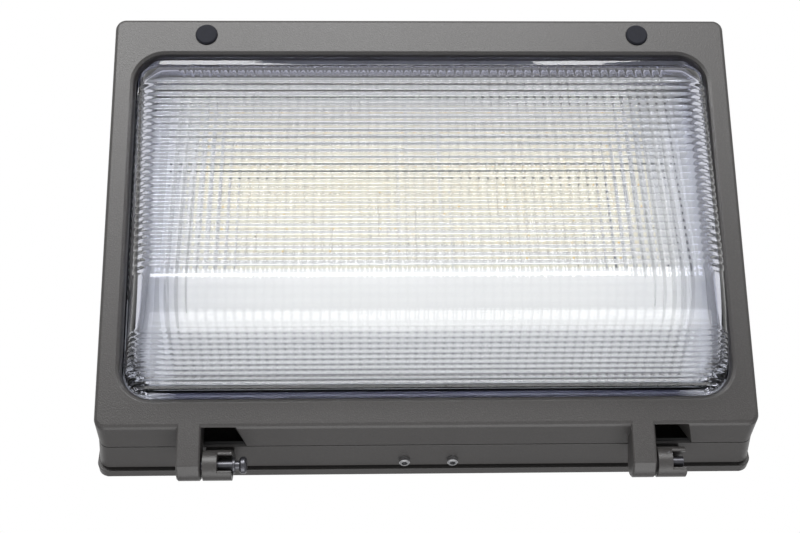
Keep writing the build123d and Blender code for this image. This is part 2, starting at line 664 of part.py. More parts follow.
def screw_plugs():
    """Round plugs over the closing screws, with a soft outer edge."""
    plugs = []
    for x in SCREW_X:
        plug = peg(door_plane(), x, SCREW_V, PLUG_R, SEAT_W + 2.7, PLUG_PROUD)
        rim = plug.edges().filter_by(GeomType.CIRCLE).sort_by(Axis.Y)[0]
        plugs.append(chamfer(rim, 0.8))
    return Compound(plugs)


# ---------------------------------------------------------------- glass fixings
def lens_gasket():
    """A flat seal between the glass's rim and the back of the door's face."""
    def outline(grow):
        low, high = OPENING_LOW - grow, OPENING_HIGH + grow
        return cut_panel(door_plane(RIM_FRONT_W), OPENING_HALF + grow, low, high, 12.0)
    return extrude(outline(RIM_OVERLAP - 0.3) - outline(2.8), -DOOR_FACE - RIM_FRONT_W)


def lens_clips():
    """Eight small plates, screwed to the door, that hold the glass's rim."""
    clips = []
    for v in CLIP_V:
        inward = 1 if v < DOOR_HEIGHT / 2 else -1
        low, high = sorted((v - inward * 3.6, v + inward * 12.4))
        for x in CLIP_X:
            clip = door_block(x - 6.0, x + 6.0, low, high, RIM_BACK_W - CLIP, RIM_BACK_W)
            clips.append(clip - stud(door_plane(), x, v, 1.55, RIM_BACK_W - 2.0, RIM_BACK_W + 1.0))
    return Compound(clips)


def pan_head(plane, x, y, seat, facing, shank, length):
    """A pan-head screw on a plane; facing is 1 where its head points along the normal."""
    ends = sorted((seat - facing * length, seat + facing * 0.3))
    head = sorted((seat, seat + facing * 1.8))
    return stud(plane, x, y, shank, *ends) + stud(plane, x, y, 1.9 * shank, *head)


def clip_screws():
    seat = RIM_BACK_W - CLIP
    return Compound([
        pan_head(door_plane(), x, v, seat, -1, 1.45, 4.2) for x in CLIP_X for v in CLIP_V
    ])


# ---------------------------------------------------------------- light source
def reflector_pan():
    """A folded sheet pan: a flat rim, four sloping sides and a floor open for the LED tray."""
    def sunk(w, outline, inset):
        half, low, high = outline
        return panel(door_plane(w), half - inset, low + inset, high - inset)

    back = PAN_RIM_W - SHEET
    rim = cut_panel(door_plane(back), PAN_HALF, PAN_LOW, PAN_HIGH, PAN_CORNER / 2)
    pan = extrude(rim, SHEET)
    pan += loft([sunk(back, PAN_MOUTH, 0.0), sunk(PAN_FLOOR_W - SHEET, PAN_FLOOR, 0.0)], ruled=True)
    front = PAN_RIM_W + 0.01
    pan -= loft([sunk(front, PAN_MOUTH, SHEET), sunk(PAN_FLOOR_W, PAN_FLOOR, SHEET)], ruled=True)
    window = (TRAY_HALF, TRAY_LOW, TRAY_HIGH)
    pan -= extrude(sunk(PAN_FLOOR_W - 2.0, window, 2.0), 4.0)
    for x, v in PAN_SCREWS:
        pan -= stud(door_plane(), x, v, SCREW_SHANK_R + 0.1, PAN_RIM_W - 2.0, PAN_RIM_W + 1.0)
    return pan


def led_tray():
    """The shallow aluminium tray behind the pan that carries the boards and cools them."""
    back, front = TRAY_FLOOR_W - TRAY_SHEET, PAN_FLOOR_W - SHEET
    tray = extrude(panel(door_plane(back), TRAY_HALF, TRAY_LOW, TRAY_HIGH), front - back)
    low, high = TRAY_LOW + TRAY_SIDE, TRAY_HIGH - TRAY_SIDE
    inside = panel(door_plane(TRAY_FLOOR_W), TRAY_HALF - TRAY_SIDE, low, high)
    tray -= extrude(inside, front - TRAY_FLOOR_W + 1.0)
    holes = [(x, v, SCREW_SHANK_R + 0.1) for x, v in TRAY_SCREWS + BOARD_SCREWS]
    holes += [(x, v, LEAD_R + 0.3) for x, v in LEAD_HOLES]
    for x, v, radius in holes:
        tray -= stud(door_plane(), x, v, radius, back - 1.0, TRAY_FLOOR_W + 1.0)
    return tray


def led_boards():
    """Two circuit boards side by side on the tray's floor."""
    boards = []
    for side in (-1, 1):
        near, far = BOARD_GAP / 2, BOARD_GAP / 2 + BOARD_LENGTH
        x0, x1 = sorted((side * near, side * far))
        seat = TRAY_FLOOR_W
        board = door_block(x0, x1, BOARD_LOW, BOARD_HIGH, seat, seat + BOARD)
        for x, v in BOARD_SCREWS:
            if x0 < x < x1:
                board -= stud(door_plane(), x, v, SCREW_SHANK_R + 0.1, seat - 1.0, seat + 3.0)
        boards.append(board)
    return Compound(boards)


def led_chips():
    """The square emitters, in rows and columns on both boards."""
    chips = []
    seat, half = TRAY_FLOOR_W + BOARD, CHIP / 2
    middle = (BOARD_LOW + BOARD_HIGH) / 2
    for side in (-1, 1):
        for column in range(CHIP_COLUMNS):
            x = side * CHIP_PITCH_X * (column + 0.5)
            for row in range(CHIP_ROWS):
                v = middle + CHIP_PITCH_V * (row - (CHIP_ROWS - 1) / 2)
                ends = (x - half, x + half, v - half, v + half)
                chips.append(door_block(*ends, seat, seat + CHIP_HEIGHT))
    return Compound(chips)


def pan_screws():
    screws = [pan_head(door_plane(), x, v, PAN_RIM_W, 1, SCREW_SHANK_R, 8.0) for x, v in PAN_SCREWS]
    return Compound(screws)


def tray_screws():
    seat = TRAY_FLOOR_W
    screws = [pan_head(door_plane(), x, v, seat, 1, SCREW_SHANK_R, 8.0) for x, v in TRAY_SCREWS]
    return Compound(screws)


def board_screws():
    seat = TRAY_FLOOR_W + BOARD
    return Compound([pan_head(door_plane(), x, v, seat, 1, 1.4, 4.5) for x, v in BOARD_SCREWS])


# ---------------------------------------------------------------- driver and wiring
def driver():
    """The LED driver: a closed case with a fixing ear at each end."""
    x, z = DRIVER_HALF, DRIVER_HALF_HEIGHT
    case = block(-x, x, DRIVER_FRONT, DRIVER_BACK, DRIVER_Z - z, DRIVER_Z + z)
    case = chamfer(case.edges().filter_by(Axis.Y), 2.0)
    ears = (-x - DRIVER_EAR, x + DRIVER_EAR)
    case += block(*ears, DRIVER_BACK - EAR, DRIVER_BACK, DRIVER_Z - 8.0, DRIVER_Z + 8.0)
    for at_x, at_z in COMPONENT_SCREWS[:2]:
        seat = -DRIVER_BACK
        case -= stud(wall_plane(), at_x, at_z, SCREW_SHANK_R + 0.2, seat - 1.0, seat + 4.0)
    return case


def terminal_block():
    """A three-way screw terminal with a fixing ear at its top."""
    x, z = TERMINAL_X, TERMINAL_Z
    body = block(x - 12.0, x + 12.0, TERMINAL_FRONT, DRIVER_BACK, z - 14.0, z + 14.0)
    body += block(x - 5.0, x + 5.0, DRIVER_BACK - 2 * EAR, DRIVER_BACK, z + 13.0, z + 27.0)
    seat = -DRIVER_BACK
    at_x, at_z = COMPONENT_SCREWS[2]
    body -= stud(wall_plane(), at_x, at_z, SCREW_SHANK_R + 0.2, seat - 1.0, seat + 4.0)
    for row in (-1, 0, 1):
        at_z, front = z + TERMINAL_PITCH * row, -TERMINAL_FRONT
        body -= stud(wall_plane(), x, at_z, 2.4, front - 4.0, front + 1.0)
    return body


def component_screws():
    """The screws in the driver's two ears and in the terminal block's thicker one."""
    seats = (EAR, EAR, 2 * EAR)
    return Compound([
        pan_head(wall_plane(), x, z, -DRIVER_BACK + seat, 1, SCREW_SHANK_R, 4.0)
        for (x, z), seat in zip(COMPONENT_SCREWS, seats)
    ])


def ground_screw():
    return pan_head(wall_plane(), *GROUND_AT, -DRIVER_BACK, 1, SCREW_SHANK_R, 2.5)


def board_lead(x, v):
    """A lead from the driver's right end through the tray's floor to the boards."""
    out = DRIVER_BACK - 14.0
    z = world(v, depth_at(v, out))[1]
    end = (x, *world(v, TRAY_FLOOR_W))
    return wire_run([(DRIVER_HALF, out, z), (x, out, z), end], 10.0)


def supply_lead(z):
    """A short lead from the terminal block to the driver's left end."""
    x0, x1 = TERMINAL_X + 12.0, -DRIVER_HALF
    y0, y1 = DRIVER_BACK - 7.5, DRIVER_BACK - 15.0
    return wire_run([(x0, y0, z), (x0 + 6.0, y0, z), (x1 - 5.0, y1, z), (x1, y1, z)], 3.0)


def ground_lead():
    """A lead from the terminal block's foot to the earth screw on the housing."""
    x, y = TERMINAL_X - 6.0, DRIVER_BACK - 6.0
    seat = DRIVER_BACK - 1.4
    edge, z = GROUND_AT[0] - 1.9 * SCREW_SHANK_R, GROUND_AT[1]
    points = [(x, y, TERMINAL_Z - 14.0), (x, y, z + 10.0), (x + 4.0, seat, z), (edge, seat, z)]
    return wire_run(points, 3.5)


PARTS = {
    "wall_plate": wall_plate,
    "wall_gasket": wall_gasket,
    "rear_housing": rear_housing,
    "wire_grommet": wire_grommet,
    "set_screws": set_screws,
    "conduit_plugs": conduit_plugs,
    "door_gasket": door_gasket,
    "door_frame": door_frame,
    "release_pin": release_pin,
    "fixed_hinge_pin": fixed_hinge_pin,
    "door_screws": door_screws,
    "screw_plugs": screw_plugs,
    "lens": lens,
    "lens_gasket": lens_gasket,
    "lens_clips": lens_clips,
    "clip_screws": clip_screws,
    "reflector_pan": reflector_pan,
    "pan_screws": pan_screws,
    "led_tray": led_tray,
    "tray_screws": tray_screws,
    "led_boards": led_boards,
    "led_chips": led_chips,
    "board_screws": board_screws,
    "driver": driver,
    "terminal_block": terminal_block,
    "component_screws": component_screws,
    "ground_screw": ground_screw,
    "board_lead_red": lambda: board_lead(*LEAD_HOLES[0]),
    "board_lead_black": lambda: board_lead(*LEAD_HOLES[1]),
    "line_lead": lambda: supply_lead(TERMINAL_Z + TERMINAL_PITCH),
    "neutral_lead": lambda: supply_lead(TERMINAL_Z),
    "ground_lead": ground_lead,
}

os.makedirs("parts", exist_ok=True)
for name, make in PARTS.items():
    solid = make()
    export_step(solid, f"parts/{name}.step")
    print(name, "made")
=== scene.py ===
# %% [markdown]
# # A wall pack light
# A wall pack hangs high on an outside wall. A cast housing hooks on a wall plate, and a cast door
# with a moulded prismatic glass closes it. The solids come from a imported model, the frame. This
# lesson gives them their finishes, moulds the glass with its fine ribs, adds the small fasteners
# and emitters that the solids leave plain, and lights the whole like a product on a white table.

# %% Load the frame
import bpy
from math import cos, pi, radians, sin, sqrt, tan
from mathutils import Matrix, Vector


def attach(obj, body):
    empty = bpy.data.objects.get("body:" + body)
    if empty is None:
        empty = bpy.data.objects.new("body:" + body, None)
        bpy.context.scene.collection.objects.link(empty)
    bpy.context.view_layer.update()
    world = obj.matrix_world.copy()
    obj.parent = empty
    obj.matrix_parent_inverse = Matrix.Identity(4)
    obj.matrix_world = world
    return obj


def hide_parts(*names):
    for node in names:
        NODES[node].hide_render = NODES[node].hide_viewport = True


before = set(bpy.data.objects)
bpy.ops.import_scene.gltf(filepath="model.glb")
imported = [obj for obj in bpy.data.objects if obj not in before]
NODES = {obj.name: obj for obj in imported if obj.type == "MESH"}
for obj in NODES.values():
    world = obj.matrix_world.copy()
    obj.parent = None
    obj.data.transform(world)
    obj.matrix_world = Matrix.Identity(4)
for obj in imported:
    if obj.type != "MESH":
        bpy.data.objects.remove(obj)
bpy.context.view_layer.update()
print("solids in the frame:", len(NODES))


# %% [markdown]
# The photograph was taken from below: the camera stands under the light and looks up at its
# sloping face. Its place and lens were fitted to the outline of the door, at the size that the
# solids give it. That size is an estimate, because nothing of known size is in the photograph.
# The fit took the lens to point at the middle of the picture, so the camera has no shift.

# %% The camera
CAMERA_PLACE = (-0.03605, -0.64427, -0.50018)
CAMERA_TURN = (129.478, 1.263, -1.186)
LENS_MM = 60.174
SENSOR_MM = 36.0

camera_data = bpy.data.cameras.new("camera")
camera_data.lens = LENS_MM
camera_data.sensor_width = SENSOR_MM
camera_data.clip_start = 0.01
camera = bpy.data.objects.new("camera", camera_data)
camera.location = CAMERA_PLACE
camera.rotation_euler = [radians(angle) for angle in CAMERA_TURN]
bpy.context.scene.collection.objects.link(camera)
bpy.context.scene.camera = camera
print("camera at", CAMERA_PLACE)

# %% [markdown]
# A large pale floor lies well below the light, out of the main view, so that nothing stands
# between the light and a camera that goes round it.

# %% The floor
FLOOR_Z = -1.25
FLOOR_SIZE = 14.0


def start_clean():
    """Leaves edit mode with nothing selected, so an operator works on new things alone."""
    if bpy.context.object and bpy.context.object.mode != "OBJECT":
        bpy.ops.object.mode_set(mode="OBJECT")
    bpy.ops.object.select_all(action="DESELECT")


start_clean()
bpy.ops.mesh.primitive_grid_add(
    x_subdivisions=4, y_subdivisions=4, size=FLOOR_SIZE, location=(0, 0, FLOOR_Z)
)
floor = bpy.context.object
floor.name = "floor"
print("floor at", FLOOR_Z)

# %% [markdown]
# ## Shader maths
# A finish is a small field of numbers over a surface. The class below wraps one socket, so that
# a mask can be written as an expression: each operator adds one Math node.

# %% One class for shader maths


class Field:
    """A value that runs over a surface: one socket, whose operators add Math nodes."""

    def __init__(self, tree, socket=None):
        self.tree = tree
        self.socket = socket

    def node(self, kind, inputs=(), output=0, **settings):
        """Adds any node: its settings first, then its sockets."""
        made = self.tree.nodes.new(kind)
        for name, value in settings.items():
            setattr(made, name, value)
        for name, value in dict(inputs).items():
            if isinstance(value, Field):
                self.tree.links.new(value.socket, made.inputs[name])
            else:
                made.inputs[name].default_value = value
        return Field(self.tree, made.outputs[output])

    def maths(self, operation, *values, clamp=False):
        """Adds one Math node; values are fields or numbers."""
        inputs = enumerate(values)
        return self.node("ShaderNodeMath", inputs, operation=operation, use_clamp=clamp)

    def __add__(self, other):
        return self.maths("ADD", self, other)

    def __sub__(self, other):
        return self.maths("SUBTRACT", self, other)

    def __rsub__(self, other):
        return self.maths("SUBTRACT", other, self)

    def __mul__(self, other):
        return self.maths("MULTIPLY", self, other)

    def __truediv__(self, other):
        return self.maths("DIVIDE", self, other)

    def __rtruediv__(self, other):
        return self.maths("DIVIDE", other, self)

    __radd__ = __add__
    __rmul__ = __mul__

    def above(self, edge, soft):
        """0 below the edge and 1 above it, over a soft width."""
        return self.maths("ADD", (self - edge) / soft, 0.5, clamp=True)

    def mix(self, low, high):
        """A colour that goes from low, where this is 0, to high, where it is 1."""
        return self.node("ShaderNodeMix", {0: self, 6: low, 7: high}, 2, data_type="RGBA")


print("operators:", "+ - * /")

# %% [markdown]
# Every finish starts as one Principled shader. What is the same all over goes straight on its
# sockets, and only what changes over the surface is linked.

# %% Start a finish


def rgb(red, green, blue):
    """A colour written as a paint chart gives it, 0 to 255, as linear light."""
    def linear(part):
        part /= 255
        return part / 12.92 if part <= 0.04045 else ((part + 0.055) / 1.055) ** 2.4
    return (linear(red), linear(green), linear(blue), 1.0)


def finish(name, **constants):
    """A new material with its Principled node, and the field that its maths starts from."""
    material = bpy.data.materials.new(name)
    material.use_nodes = True
    shader = material.node_tree.nodes["Principled BSDF"]
    for key, value in constants.items():
        shader.inputs[key.replace("_", " ")].default_value = value
    return material, shader, Field(material.node_tree)


def link(field, shader, name):
    """Feeds one of the shader's sockets from a field."""
    field.tree.links.new(field.socket, shader.inputs[name])


def noise(start, place, per_metre, detail):
    """Soft noise with so many grains to the metre."""
    values = {"Vector": place, "Scale": per_metre, "Detail": detail}
    return start.node("ShaderNodeTexNoise", values)


def bump(height, shader, depth, strength, edge):
    """Raises a surface by a height field; edge also rounds its sharp corners by that radius."""
    values = {"Height": height, "Distance": depth, "Strength": strength}
    if edge:
        values["Normal"] = height.node("ShaderNodeBevel", {"Radius": edge}, samples=6)
    link(height.node("ShaderNodeBump", values), shader, "Normal")


def dress(material, *names):
    """Gives CAD nodes their finish, in the slots that they already have."""
    for name in names:
        for slot in NODES[name].material_slots:
            slot.material = material


print("a mid grey is", [round(part, 3) for part in rgb(128, 128, 128)[:3]])

# %% [markdown]
# ## Powder coat
# The castings are sprayed with a dark bronze powder that is baked to a finely pebbled skin. Up
# close it is a field of tiny rounded grains: some catch the light and some sit in shade. Two
# scales of noise make the grains, a slow cloud varies the tone, and a bevel in the normal gives
# the castings the soft corners that sand and powder leave.

# %% Powder coat
GRAINS, SPECKS, CLOUDS = 1500.0, 2600.0, 14.0   # to the metre
GRAIN_DEPTH, COAT_EDGE = 0.00012, 0.0007   # in metres


def powder_coat():
    """The dark bronze coat of every casting."""
    material, shader, start = finish("powder_coat", Specular_IOR_Level=0.5)
    place = start.node("ShaderNodeTexCoord", output="Object")
    grain = start.node("ShaderNodeTexVoronoi", {"Vector": place, "Scale": GRAINS})
    speck = noise(start, place, SPECKS, 1.0)
    cloud = noise(start, place, CLOUDS, 3.0)
    tone = grain * 0.35 + speck * 0.45 + cloud * 0.2
    link(tone.above(0.42, 0.5).mix(rgb(39, 37, 36), rgb(64, 62, 61)), shader, "Base Color")
    link(0.30 + speck * 0.14 + cloud * 0.06, shader, "Roughness")
    bump(grain + speck * 0.6, shader, GRAIN_DEPTH, 0.45, COAT_EDGE)
    return material


dress(powder_coat(), "rear_housing", "door_frame", "conduit_plugs")
print("powder coat on 3 nodes")

# %% [markdown]
# ## The prismatic glass
# The glass is one moulding: a bowl with a flat rim that the door clamps. Its outside has level
# ribs that run across the face and on round its sides, and its inside has upright flutes, so each
# small cell between a rib and a flute is a lens. A solid with flat facets would show the boards
# twice, so the glass is modelled as a smooth surface.
#
# Both walls start as a grid. One direction of the grid runs up the profile of the glass, the
# other across it, and every vertex is moved to the place that the profile and the ribs give it.
# The rim is two rounded outlines, one for its front and one for its back. Each lies in one plane
# with the edge of its wall.

# %% The profile of the glass
MM = 0.001
DOOR_SLOPE = radians(22.0)
DOOR_FOOT_Y, BODY_FOOT_Z = -48.0 * MM, -117.6 * MM
GLASS_DRAFT = radians(12.5)
GLASS_HALF = 160.6 * MM
GLASS_WALL = 4.0 * MM
RIM_FRONT, RIM_BACK = -7.7 * MM, -11.2 * MM
RIM_HALF, RIM_LOW, RIM_HIGH, RIM_CORNER = 169.8 * MM, 9.5 * MM, 221.5 * MM, 23.3 * MM
PLAN_CORNER = 15.0 * MM
FOOT_WALL = (Vector((19.6, 0.0)) * MM, Vector((43.2, 40.0)) * MM)
FACE_WALL = (Vector((70.8, 52.0)) * MM, Vector((190.4, 20.0)) * MM)
SHOULDER_END = Vector((209.6, 4.6)) * MM
FOOT_LEAN, FACE_LEAN, TOP_LEAN = radians(59.5), radians(-15.0), radians(-76.0)
FACE_RIBS, FOOT_RIBS = 27, 12
FACE_RIB_HEIGHT, FOOT_RIB_HEIGHT = 0.72 * MM, 0.5 * MM
FLUTES, FLUTE_PITCH, FLUTE_DEPTH = 57, 4.8 * MM, 0.55 * MM
RIB_STEPS, FLUTE_STEPS = 8, 8
ROUNDNESS = 1.3   # the power that gives a rib or a flute its rounded sides


def to_world(point):
    """A point given across, up and out of the door's face, in the frame of the whole light."""
    x, v, w = point
    y = DOOR_FOOT_Y - v * sin(DOOR_SLOPE) - w * cos(DOOR_SLOPE)
    return Vector((x, y, BODY_FOOT_Z + v * cos(DOOR_SLOPE) - w * sin(DOOR_SLOPE)))


def ribbed_run(wall, count, height, steps):
    """Stations up a wall of the profile as (v, w, lift), with a round rib at each pitch."""
    along = (wall[1] - wall[0]) / (count * steps)
    normal = Vector((-along.y, along.x)).normalized()
    stations = []
    for step in range(count * steps + 1):
        lift = height * sin(pi * (step % steps) / steps) ** ROUNDNESS
        point = wall[0] + along * step + normal * lift
        stations.append((point.x, point.y, lift))
    return stations


def round_run(a, b, lean_a, lean_b, count):
    """Stations on the arc from a to b, without its ends, whose tangent turns between two leans."""
    radius = (b - a).length / (2 * sin((lean_a - lean_b) / 2))
    stations = []
    for step in range(1, count):
        lean = lean_a + (lean_b - lean_a) * step / count
        v = a.x + radius * (sin(lean_a) - sin(lean))
        w = a.y + radius * (cos(lean) - cos(lean_a))
        stations.append((v, w, 0.0))
    return stations


def profile(foot, face, end, nose_steps, shoulder_steps):
    """Stations from the foot of the glass over its nose and up to the end of its shoulder.

    foot and face are each a wall, its count of ribs, their height and the steps of one.
    """
    stations = ribbed_run(*foot)
    stations += round_run(foot[0][1], face[0][0], FOOT_LEAN, FACE_LEAN, nose_steps)
    stations += ribbed_run(*face)
    stations += round_run(face[0][1], end, FACE_LEAN, TOP_LEAN, shoulder_steps)
    return stations + [(end.x, end.y, 0.0)]


outside = profile(
    foot=(FOOT_WALL, FOOT_RIBS, FOOT_RIB_HEIGHT, RIB_STEPS),
    face=(FACE_WALL, FACE_RIBS, FACE_RIB_HEIGHT, RIB_STEPS),
    end=SHOULDER_END, nose_steps=20, shoulder_steps=12,
)
print("stations up the outside:", len(outside))

# %% [markdown]
# A section runs across the glass at one station: up a leaning side wall, round a corner, along
# the top and down again. Near the foot and the head of the glass the side walls draw in, which
# rounds the corners of its plan. Inside, the top of the section carries the flutes.

# %% Sections across the glass
CORNER_STEPS = 6
OUTER_CORNER, INNER_CORNER = 12.0 * MM, 9.0 * MM
LOW_CORNER = 0.75   # of its height, on a section that is too low for the full corner


def glass_half(w):
    """Half width of the glass's outside at height w."""
    return GLASS_HALF - w * tan(GLASS_DRAFT)


def plan_inset(v, low, high):
    """How far the round plan corners draw the side walls in at v."""
    near = min(v - low, high - v)
    short = max(PLAN_CORNER - near, 0.0)
    return PLAN_CORNER - sqrt(PLAN_CORNER ** 2 - short ** 2)


def section(v, top, shrink, base, corner, fluted):
    """Points across the glass from its left base to its right base; shrink narrows it."""
    half_base, half_top = glass_half(base) - shrink, glass_half(top) - shrink
    radius = min(corner, LOW_CORNER * (top - base))
    centre = half_top - radius * tan((pi / 2 - GLASS_DRAFT) / 2)
    right = [(half_base, base)]
    for step in range(CORNER_STEPS + 1):
        turn = GLASS_DRAFT + (pi / 2 - GLASS_DRAFT) * step / CORNER_STEPS
        right.append((centre + radius * cos(turn), top - radius * (1 - sin(turn))))
    across = [(centre / 3, top), (-centre / 3, top)]
    if fluted:
        edge, count = FLUTES * FLUTE_PITCH / 2, FLUTES * FLUTE_STEPS
        across = []
        for i in range(count + 1):
            depth = FLUTE_DEPTH * sin(pi * (i % FLUTE_STEPS) / FLUTE_STEPS) ** ROUNDNESS
            across.append((edge - 2 * edge * i / count, top - depth))
    line = right + across + [(-x, w) for x, w in reversed(right)]
    return [Vector((x, v, w)) for x, w in line]


def wall_rows(stations, ends, base, inset, corner, fluted):
    """Every section of one wall; at both ends a last row lies on the rim's plane."""
    low, high = ends
    rows = []
    for v, w, lift in stations:
        shrink = inset - lift + plan_inset(v, low - inset / 4, high + inset / 4)
        rows.append(section(v, w, shrink, base, corner, fluted))
    first = [Vector((p.x, low, base)) for p in rows[0]]
    last = [Vector((p.x, high, base)) for p in rows[-1]]
    return [first] + rows + [last]


OUTER_ENDS, INNER_ENDS = (17.1 * MM, 212.9 * MM), (23.8 * MM, 206.0 * MM)
FOOT_EDGE, HEAD_EDGE = (17.6 * MM, -3.4 * MM, 0.0), (212.4 * MM, -5.0 * MM, 0.0)
IN_FOOT = (Vector((24.2, 0.0)) * MM, Vector((46.6, 38.0)) * MM)
IN_FACE = (Vector((70.2, 48.0)) * MM, Vector((189.4, 16.0)) * MM)
IN_END = Vector((205.6, 3.0)) * MM

outside = [FOOT_EDGE] + outside + [HEAD_EDGE]
inside = profile(
    foot=(IN_FOOT, 1, 0.0, 6), face=(IN_FACE, 1, 0.0, 12),
    end=IN_END, nose_steps=16, shoulder_steps=10,
)
outer_rows = wall_rows(outside, OUTER_ENDS, RIM_FRONT, 0.0, OUTER_CORNER, False)
inner_rows = wall_rows(inside, INNER_ENDS, RIM_BACK, GLASS_WALL, INNER_CORNER, True)
print("outside", len(outer_rows), "x", len(outer_rows[0]), "points")
print("inside", len(inner_rows), "x", len(inner_rows[0]), "points")

# %% [markdown]
# A grid primitive already has the faces of such a wall. Only its vertices move: a vertex's place
# in the flat grid says which row and which column it belongs to.

# %% Bend a grid into a wall
RIM_STEPS = 10   # points on each corner of the rim


def bent_grid(rows):
    """A grid of faces whose vertices stand at the given rows of points."""
    start_clean()
    columns = len(rows[0])
    bpy.ops.mesh.primitive_grid_add(
        x_subdivisions=columns - 1, y_subdivisions=len(rows) - 1, size=2.0
    )
    wall = bpy.context.object
    for vertex in wall.data.vertices:
        column = round((vertex.co.x + 1) / 2 * (columns - 1))
        row = round((vertex.co.y + 1) / 2 * (len(rows) - 1))
        vertex.co = rows[row][column]
    return wall


def rim_outline(w):
    """The rim's rounded outline at w, made from a circle's ring of vertices."""
    points = []
    for corner in range(4):
        side = 1 if corner in (0, 3) else -1
        end = RIM_HIGH - RIM_CORNER if corner < 2 else RIM_LOW + RIM_CORNER
        for step in range(RIM_STEPS):
            turn = pi / 2 * (corner + step / (RIM_STEPS - 1))
            x = side * (RIM_HALF - RIM_CORNER) + RIM_CORNER * cos(turn)
            points.append(Vector((x, end + RIM_CORNER * sin(turn), w)))
    start_clean()
    bpy.ops.mesh.primitive_circle_add(vertices=len(points), radius=1.0)
    ring = bpy.context.object
    for vertex, point in zip(ring.data.vertices, points):
        vertex.co = point
    return ring


def join(pieces, name):
    """Joins pieces into the first one under a new name."""
    start_clean()
    for piece in pieces:
        piece.select_set(True)
    bpy.context.view_layer.objects.active = pieces[0]
    if len(pieces) > 1:
        bpy.ops.object.join()
    pieces[0].name = name
    return pieces[0]


def select_edges(piece, test):
    """Selects the open edges of a piece in edit mode whose two ends pass a test."""
    bpy.ops.object.mode_set(mode="EDIT")
    bpy.ops.mesh.select_mode(type="EDGE")
    bpy.ops.mesh.select_all(action="DESELECT")
    bpy.ops.mesh.select_non_manifold(extend=False, use_multi_face=False, use_non_contiguous=False)
    bpy.ops.object.mode_set(mode="OBJECT")
    places = piece.data.vertices
    chosen = 0
    for edge in piece.data.edges:
        edge.select = edge.select and all(test(places[i].co) for i in edge.vertices)
        chosen += edge.select
    bpy.ops.object.mode_set(mode="EDIT")
    return chosen


print("the helpers for grids and rims are ready")

# %% [markdown]
# On each plane of the rim, the space between the edge of the wall and the rim's outline is filled
# with faces. One bridge then joins the two outlines. After that no edge is open, so the glass is
# one closed solid.

# %% Close the glass
TOUCH = 0.01 * MM   # how near to a plane a point counts as in it
MERGE = 0.001 * MM   # how near two points count as one
GLASS_SMOOTH = radians(50.0)

lens = join(
    [bent_grid(outer_rows), bent_grid(inner_rows), rim_outline(RIM_FRONT), rim_outline(RIM_BACK)],
    "prismatic_lens",
)
for plane in (RIM_FRONT, RIM_BACK):
    found = select_edges(lens, lambda place: abs(place.z - plane) < TOUCH)
    bpy.ops.mesh.fill(use_beauty=True)
    print("edges round the rim at", round(plane / MM, 1), ":", found)
select_edges(lens, lambda place: True)
bpy.ops.mesh.bridge_edge_loops()
bpy.ops.mesh.select_all(action="SELECT")
bpy.ops.mesh.remove_doubles(threshold=MERGE)
bpy.ops.mesh.normals_make_consistent(inside=False)
bpy.ops.object.mode_set(mode="OBJECT")
for vertex in lens.data.vertices:
    vertex.co = to_world(vertex.co)
lens.data.update()
open_edges = select_edges(lens, lambda place: True)
bpy.ops.object.mode_set(mode="OBJECT")
bpy.ops.object.shade_smooth_by_angle(angle=GLASS_SMOOTH)
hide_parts("lens")
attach(lens, "door")
print("faces:", len(lens.data.polygons), "open edges:", open_edges)

# %% [markdown]
# In the photograph the glass looks blue-grey where a wall of it is seen along its length, and a
# little darker in the grooves than on the ribs. Some of that is the long way of the light through
# the glass. Some is dark surroundings that the glass bends into view, and a white studio has none.
# So the colour below is painted: in part the glass's own colour along its long path, in part
# painted shade in the grooves and low on the face, and painted reflection of the dark surroundings
# on the lip, the sides and the head. It was set against the photograph: it is no measured property
# of glass.
#
# It is a stack of masks in the door's own directions: v runs up the door's face and w out of it.
# Each mask is a soft step at some v, or a wave with the pitch of the ribs or flutes.

# %% The glass's colour and painted shade
EDGE_START, EDGE_WIDTH = 141.0 * MM, 16.0 * MM
HEAD_START, HEAD_WIDTH = 194.5 * MM, 6.0 * MM
RISE_START, RISE_WIDTH = 120.0 * MM, 170.0 * MM
NOSE_START, LIP_START = 40.0 * MM, 20.0 * MM
STEP_WIDTH, FOOT_TOP_WIDTH = 3.0 * MM, 4.0 * MM
RIB_PITCH = (FACE_WALL[1] - FACE_WALL[0]).x / FACE_RIBS
FOOT_PITCH = (FOOT_WALL[1] - FOOT_WALL[0]).y / FOOT_RIBS
CELL_STEP, RIDGE_STEP = (0.3, 0.5), (0.55, 0.4)
# Painted shade: the grooves are darker than the crowns, and the face is darker low than high; the
# crowns high up stay clear.
GROOVE_SHADES = rgb(178, 178, 180), rgb(226, 226, 227)   # low on the face, and high on it
CROWNS = rgb(218, 218, 217), rgb(255, 255, 255)
# Painted shade on the foot: its grooves are dark, darkest low on the foot, and its crowns a little
# darker than clear.
FOOT_GROOVE_SHADES = rgb(30, 31, 38), rgb(112, 113, 122)   # low on the foot, and high on it
FOOT_CROWN, NOSE = rgb(200, 201, 204), rgb(252, 252, 252)
# Blue-grey on the lip, the side walls and the head: partly the glass's own colour along its long
# path, partly painted reflection of dark surroundings.
LIP, SIDES, HEAD = rgb(62, 64, 84), rgb(204, 206, 216), rgb(158, 160, 180)


def wave(across, pitch, kind="SINE"):
    """A wave of 0 to 1 along a direction, which touches 0 once in each pitch."""
    return across.maths("ABSOLUTE", across.maths(kind, across * (pi / pitch)))


